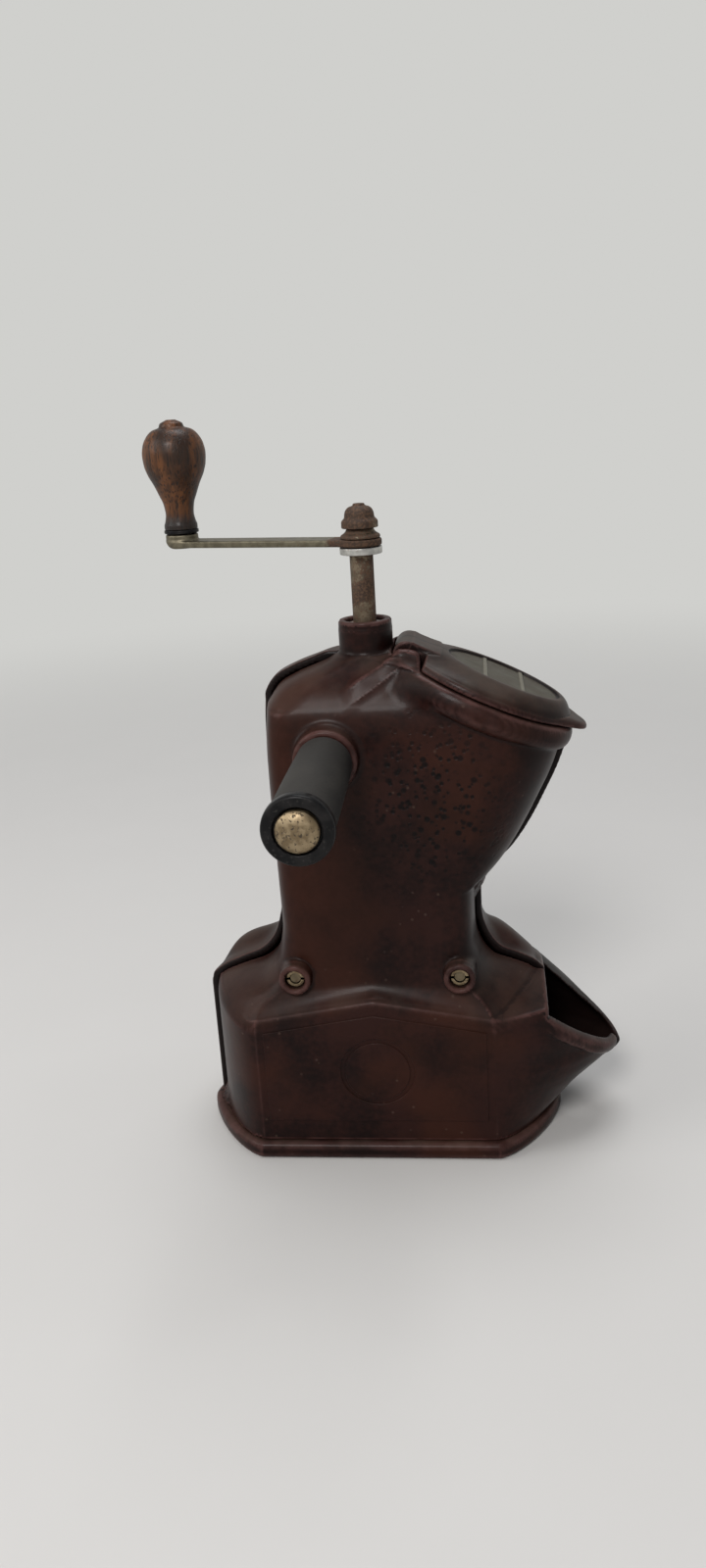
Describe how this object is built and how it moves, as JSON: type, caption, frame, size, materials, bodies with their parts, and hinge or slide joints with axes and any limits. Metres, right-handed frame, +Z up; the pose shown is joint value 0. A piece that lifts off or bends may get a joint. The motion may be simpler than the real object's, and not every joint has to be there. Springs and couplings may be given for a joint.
{
  "type": "manual coffee grinder",
  "caption": "Hand coffee mill in moulded half shells, with a top crank, a side grip, a slanted hopper under a hinged lid, and a base that catches the coffee and pours it from a beak.",
  "frame": {"origin": "on the surface that the mill stands on, straight under the crank shaft's axis", "axes": "+Z up along the crank shaft, +X towards the hopper and the pouring beak, +Y away from the side grip; the shells meet in the plane y = 0"},
  "size_m": [0.1821, 0.1501, 0.2875],
  "materials": {
    "bakelite": "maroon-brown moulded phenolic plastic, semi-gloss, mottled and worn",
    "black_bakelite": "black moulded phenolic plastic, worn to grey where it is held",
    "wood": "turned hardwood, dark varnish",
    "brass": "dull pitted brass",
    "steel": "grey steel with specks of rust",
    "rusty_steel": "steel with brown rust",
    "grey_steel": "bright grey steel",
    "cast_iron": "dark cast iron"
  },
  "bodies": {
    "mill_body": {"front_shell": "bakelite", "rear_shell": "bakelite", "foot_tray": "bakelite", "foot_screw_1": "steel", "foot_screw_2": "steel", "foot_screw_3": "steel", "foot_screw_4": "steel", "lid_hinge_pin": "steel", "handle_grip": "black_bakelite", "grip_end_ring": "black_bakelite", "grip_bolt": "brass", "grip_bolt_washer": "steel", "grip_bolt_nut": "steel", "sleeve_nut_left": "brass", "sleeve_nut_right": "brass", "shell_screw_left": "steel", "shell_screw_right": "steel", "neck_bush": "steel", "burr_housing": "cast_iron", "burr_ring": "cast_iron", "yoke": "cast_iron", "yoke_screw_1": "steel", "yoke_screw_2": "steel"},
    "lid": {"lid": "bakelite"},
    "adjuster": {"adjusting_wheel": "brass", "retaining_clip": "steel"},
    "thrust": {"thrust_pin": "steel", "thrust_ball": "grey_steel"},
    "crank": {"crank_shaft": "rusty_steel", "crank_washer": "grey_steel", "crank_arm": "steel", "crank_boss": "rusty_steel", "crank_nut": "rusty_steel", "knob_pin": "steel", "burr_cone": "cast_iron", "cone_pin": "steel"},
    "knob": {"crank_knob": "wood", "knob_ferrule": "black_bakelite"}
  },
  "joints": [
    {"name": "lid_hinge", "type": "hinge", "parent": "mill_body", "child": "lid", "pos_m": [0.0158, 0, 0.1996], "axis": [0, -1, 0], "range_deg": [0, 58]},
    {"name": "adjuster_turn", "type": "hinge", "parent": "mill_body", "child": "adjuster", "pos_m": [0, 0, 0.0814], "axis": [0, 0, 1], "range_deg": [0, 330]},
    {"name": "thrust_lift", "type": "slide", "parent": "mill_body", "child": "thrust", "axis": [0, 0, 1], "range_m": [0, 0.0009]},
    {"name": "crank_turn", "type": "hinge", "parent": "thrust", "child": "crank", "pos_m": [0, 0, 0.0952], "axis": [0, 0, 1], "continuous": true},
    {"name": "knob_turn", "type": "hinge", "parent": "crank", "child": "knob", "pos_m": [-0.07167, 0.0192, 0.2465], "axis": [0, 0, 1], "continuous": true}
  ],
  "couplings": [
    {"joint": "adjuster_turn", "follows": "thrust_lift", "rad_per_m": 6283.2}
  ]
}
